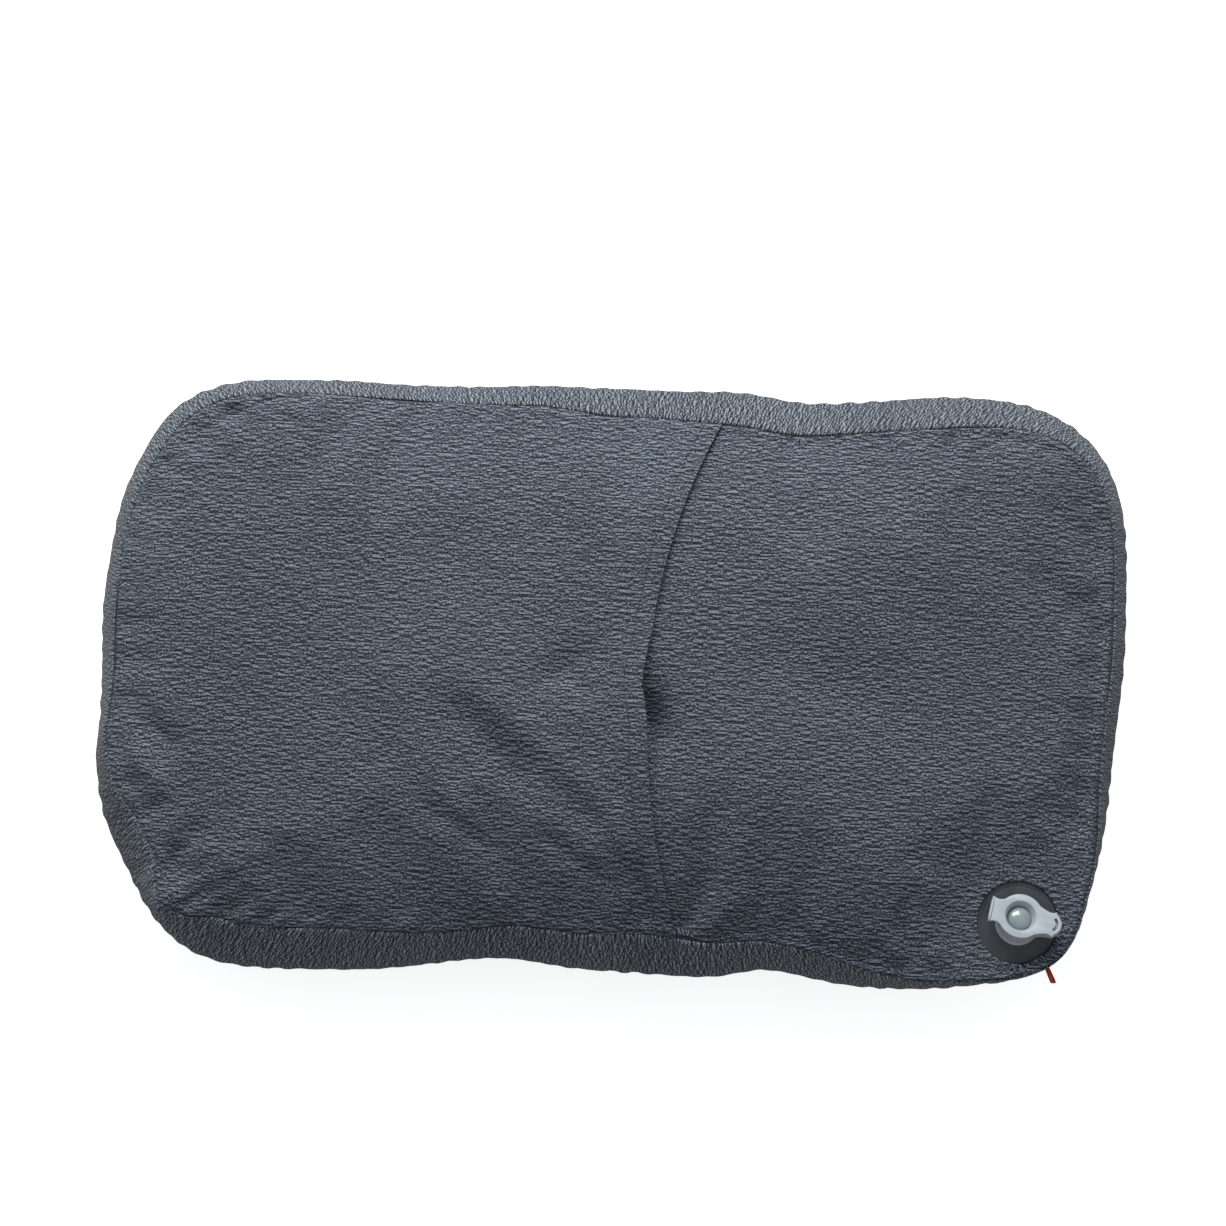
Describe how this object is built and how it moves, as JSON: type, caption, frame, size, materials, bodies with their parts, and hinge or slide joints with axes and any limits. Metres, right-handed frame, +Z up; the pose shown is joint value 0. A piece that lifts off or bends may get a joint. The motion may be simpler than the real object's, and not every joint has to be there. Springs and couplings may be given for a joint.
{
  "type": "inflatable cushion",
  "caption": "Rectangular inflatable cushion in a removable heathered knit cover, with an envelope opening, a gusset band and a flat two-stage flip-cap air valve.",
  "frame": {"origin": "centre of the footprint, on the surface the cushion lies on", "axes": "+X along the length towards the valve end, +Y towards the back edge, +Z up through the opening side"},
  "size_m": [0.5712, 0.3353, 0.114],
  "materials": {
    "knit": "heathered dark blue-grey stretch knit",
    "gusset_knit": "the same knit with its grain turned across the band",
    "bladder_film": "matt dark coated fabric",
    "flange_film": "matt dark thermoplastic film",
    "valve_plastic": "soft satin pale blue-grey thermoplastic",
    "silicone": "translucent silicone",
    "red_ribbon": "red woven ribbon"
  },
  "bodies": {
    "root": {"cover_base_panel": "knit", "cover_gusset": "gusset_knit", "cover_flap_panel": "knit", "cover_valve_panel": "knit", "flap_hem": "knit", "underlap_hem": "knit", "upper_seam_allowance": "gusset_knit", "lower_seam_allowance": "gusset_knit", "valve_hole_binding": "knit", "red_tab": "red_ribbon", "bladder_top_sheet": "bladder_film", "bladder_bottom_sheet": "bladder_film", "tie_web_1": "bladder_film", "tie_web_2": "bladder_film", "tie_web_3": "bladder_film", "valve_flange": "flange_film", "valve_body": "valve_plastic"},
    "dump_lid": {"dump_lid": "valve_plastic", "check_flap_root": "silicone", "check_flap_stud": "valve_plastic"},
    "inflate_cap": {"inflate_cap": "valve_plastic"},
    "check_flap": {"check_flap": "silicone"}
  },
  "joints": [
    {"name": "dump_lid_hinge", "type": "hinge", "parent": "root", "child": "dump_lid", "pos_m": [0.24421, -0.13029, 0.0925], "axis": [0.2352, 0.9295, -0.2842], "range_deg": [0, 80]},
    {"name": "inflate_cap_hinge", "type": "hinge", "parent": "dump_lid", "child": "inflate_cap", "pos_m": [0.24421, -0.12961, 0.0947], "axis": [0.2352, 0.9295, -0.2842], "range_deg": [0, 105]},
    {"name": "check_flap_hinge", "type": "hinge", "parent": "dump_lid", "child": "check_flap", "pos_m": [0.22729, -0.12795, 0.08614], "axis": [-0.2352, -0.9295, 0.2842], "range_deg": [0, 35], "stiffness_Nm_per_rad": 0.002}
  ]
}
